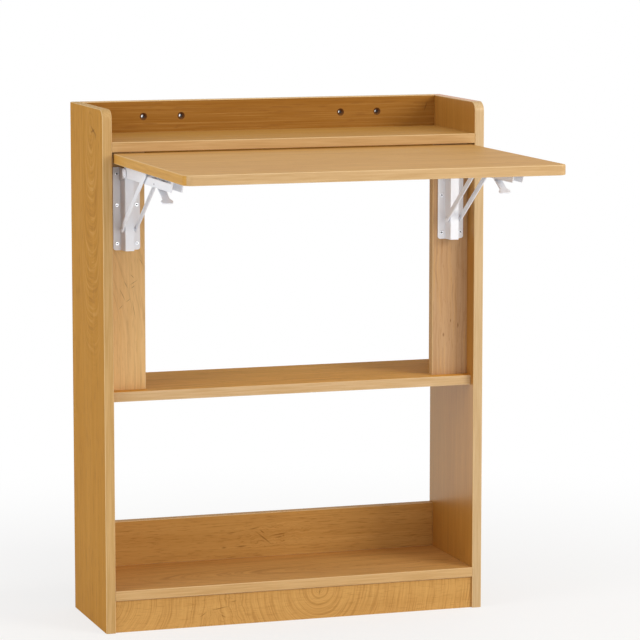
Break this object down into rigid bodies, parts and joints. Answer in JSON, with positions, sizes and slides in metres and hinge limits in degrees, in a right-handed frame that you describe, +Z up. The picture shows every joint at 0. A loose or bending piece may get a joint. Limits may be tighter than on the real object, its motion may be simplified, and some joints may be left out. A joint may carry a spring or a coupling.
{
  "type": "fold-down desk",
  "caption": "Floor-standing open wood-effect case with shelves and a desktop that folds down on locking white brackets; wall-fixing holes in its top rail.",
  "frame": {"origin": "on the floor, under the middle of the box round the desk with its top open", "axes": "+Z up, +Y back towards the wall, +X to the right seen from the front"},
  "size_m": [0.6, 0.576, 0.786],
  "materials": {
    "oak_laminate": "satin wood-effect laminate",
    "dowel_wood": "plain beech",
    "white_bracket": "satin white powder coat",
    "zinc_fitting": "zinc plated",
    "spring_steel": "oiled spring strip"
  },
  "bodies": {
    "case": {"bottom_back_rail": "oak_laminate", "bottom_shelf": "oak_laminate", "cam_bolts": "zinc_fitting", "cam_housings": "zinc_fitting", "cross_rail": "oak_laminate", "left_arm_pivot_pin": "white_bracket", "left_side_panel": "oak_laminate", "left_stile": "oak_laminate", "left_strut_pivot_pin": "white_bracket", "left_wall_plate": "white_bracket", "left_wall_plate_screws": "zinc_fitting", "middle_shelf": "oak_laminate", "plinth_board": "oak_laminate", "right_arm_pivot_pin": "white_bracket", "right_side_panel": "oak_laminate", "right_stile": "oak_laminate", "right_strut_pivot_pin": "white_bracket", "right_wall_plate": "white_bracket", "right_wall_plate_screws": "zinc_fitting", "top_shelf": "oak_laminate", "top_wall_rail": "oak_laminate", "wood_dowels": "dowel_wood"},
    "desk": {"desktop": "oak_laminate", "left_arm": "white_bracket", "left_arm_screws": "zinc_fitting", "left_lever_pin": "white_bracket", "left_lever_spring": "spring_steel", "right_arm": "white_bracket", "right_arm_screws": "zinc_fitting", "right_lever_pin": "white_bracket", "right_lever_spring": "spring_steel"},
    "left_strut": {"left_strut_left_leg": "white_bracket", "left_strut_right_leg": "white_bracket", "left_strut_rivets": "white_bracket"},
    "left_slide": {"left_slide_pin": "white_bracket"},
    "left_lever": {"left_release_lever": "white_bracket"},
    "right_strut": {"right_strut_left_leg": "white_bracket", "right_strut_right_leg": "white_bracket", "right_strut_rivets": "white_bracket"},
    "right_slide": {"right_slide_pin": "white_bracket"},
    "right_lever": {"right_release_lever": "white_bracket"}
  },
  "joints": [
    {"name": "desk_fold", "type": "hinge", "parent": "case", "child": "desk", "pos_m": [0, 0.093, 0.692], "axis": [1, 0, 0], "range_deg": [0, 90]},
    {"name": "left_strut_swing", "type": "hinge", "parent": "case", "child": "left_strut", "pos_m": [-0.2565, 0.108, 0.607], "axis": [1, 0, 0], "range_deg": [0, 116.5]},
    {"name": "left_pin_slide", "type": "slide", "parent": "desk", "child": "left_slide", "axis": [0, -1, 0], "range_m": [0, 0.12731]},
    {"name": "left_lever_press", "type": "hinge", "parent": "desk", "child": "left_lever", "pos_m": [-0.2565, -0.066, 0.6896], "axis": [-1, 0, 0], "range_deg": [0, 20], "stiffness_Nm_per_rad": 0.3, "springref_deg": -8.59},
    {"name": "right_strut_swing", "type": "hinge", "parent": "case", "child": "right_strut", "pos_m": [0.2565, 0.108, 0.607], "axis": [1, 0, 0], "range_deg": [0, 116.5]},
    {"name": "right_pin_slide", "type": "slide", "parent": "desk", "child": "right_slide", "axis": [0, -1, 0], "range_m": [0, 0.12731]},
    {"name": "right_lever_press", "type": "hinge", "parent": "desk", "child": "right_lever", "pos_m": [0.2565, -0.066, 0.6896], "axis": [-1, 0, 0], "range_deg": [0, 20], "stiffness_Nm_per_rad": 0.3, "springref_deg": -8.59}
  ],
  "couplings": [
    {"joint": "left_strut_swing", "follows": "desk_fold", "ratio": 1.2944},
    {"joint": "left_pin_slide", "follows": "desk_fold", "m_per_rad": 0.081049},
    {"joint": "right_strut_swing", "follows": "desk_fold", "ratio": 1.2944},
    {"joint": "right_pin_slide", "follows": "desk_fold", "m_per_rad": 0.081049}
  ]
}
